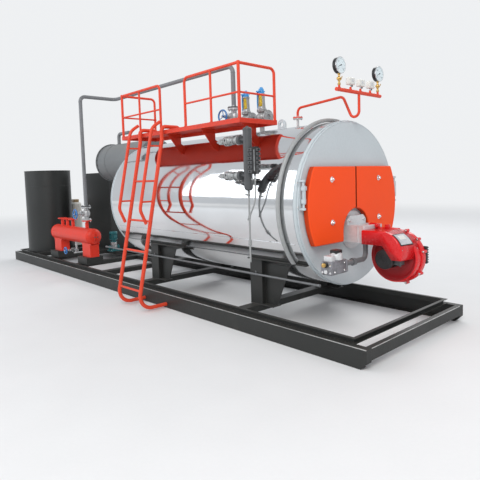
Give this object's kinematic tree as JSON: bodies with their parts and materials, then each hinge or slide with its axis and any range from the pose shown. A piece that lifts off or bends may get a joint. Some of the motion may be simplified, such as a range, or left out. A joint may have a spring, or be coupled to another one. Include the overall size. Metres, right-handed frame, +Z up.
{
  "type": "skid-mounted horizontal steam boiler",
  "caption": "Horizontal fire-tube steam boiler on a long steel skid, with burner, platform and ladder, steam header, economizer and feed water tanks.",
  "frame": {"origin": "under the middle cross member of the skid, on the drum's centre plane, at floor level", "axes": "+X along the drum toward the burner, +Y toward the far side without ladder, +Z up"},
  "size_m": [8.728, 2.2645, 3.105],
  "materials": {
    "frame_paint": "satin paint, worn",
    "cladding": "mirror polished stainless sheet",
    "plate_paint": "satin grey paint",
    "door_orange": "glossy paint",
    "hardware": "zinc plated",
    "burner_cast": "as cast",
    "burner_red": "gloss paint",
    "black_paint": "satin",
    "platform_red": "brushed-on paint",
    "valve_cast": "painted casting",
    "wheel_blue": "gloss paint",
    "pipe_paint": "grey primer",
    "switch_cream": "smooth",
    "softener_white": "smooth",
    "pump_teal": "gloss paint"
  },
  "bodies": {
    "boiler": {"long_beams": "frame_paint", "end_members": "frame_paint", "long_ledges": "frame_paint", "end_ledges": "frame_paint", "cross_members": "frame_paint", "inner_rails": "frame_paint", "legs": "frame_paint", "drum_shell": "cladding", "front_plate": "plate_paint", "rear_plate": "plate_paint", "drum_hoop": "cladding", "lap_seams": "cladding", "hinges": "plate_paint", "burner_casting": "burner_cast", "fan_housing": "burner_red", "burner_cover": "burner_red", "burner_motor": "black_paint", "air_inlet": "black_paint", "gas_valve": "burner_cast", "gas_pipe": "pipe_paint", "deck": "platform_red", "deck_brackets": "platform_red", "rail_front": "platform_red", "rail_rear": "platform_red", "ladder": "platform_red", "ladder_handrails": "platform_red", "globe_valves": "valve_cast", "steam_pipe": "pipe_paint", "header_shell": "platform_red", "header_legs": "platform_red", "header_pedestals": "frame_paint", "header_drain": "hardware", "safety_valves": "valve_cast", "lifting_lug": "plate_paint", "gauge_pipe": "platform_red", "gauges": "black_paint", "pressure_switches": "switch_cream", "water_column": "valve_cast", "level_gauge": "black_paint", "column_valves": "valve_cast", "column_drains": "hardware", "conduit": "pipe_paint", "economizer": "plate_paint", "economizer_flue": "black_paint", "round_tank": "frame_paint", "round_tank_lid": "frame_paint", "square_tank": "frame_paint", "square_tank_lid": "frame_paint", "softener": "softener_white", "feed_pump": "pump_teal"},
    "left_door": {"door_left": "door_orange", "door_knobs_left": "hardware"},
    "right_door": {"door_right": "door_orange", "door_knobs_right": "hardware"},
    "main_handwheel": {"steam_wheel": "wheel_blue"},
    "header_handwheel": {"header_wheel": "wheel_blue"},
    "drain_handwheel": {"drain_wheel": "wheel_blue"}
  },
  "joints": [
    {"name": "left_door_hinge", "type": "hinge", "parent": "boiler", "child": "left_door", "pos_m": [4.036, -0.812, 1.441], "axis": [0, 0, 1], "range_deg": [-100, 0]},
    {"name": "right_door_hinge", "type": "hinge", "parent": "boiler", "child": "right_door", "pos_m": [4.036, 0.812, 1.441], "axis": [0, 0, 1], "range_deg": [0, 100]},
    {"name": "main_valve_stem", "type": "hinge", "parent": "boiler", "child": "main_handwheel", "pos_m": [2.21, -0.2, 2.41], "axis": [0, -1, 0], "range_deg": [0, 2160]},
    {"name": "header_valve_stem", "type": "hinge", "parent": "boiler", "child": "header_handwheel", "pos_m": [-0.96, -0.85, 1.08], "axis": [0, -1, 0], "range_deg": [0, 2160]},
    {"name": "drain_valve_stem", "type": "hinge", "parent": "boiler", "child": "drain_handwheel", "pos_m": [-1.57, -0.8, 0.395], "axis": [0, -1, 0], "range_deg": [0, 1440]}
  ]
}
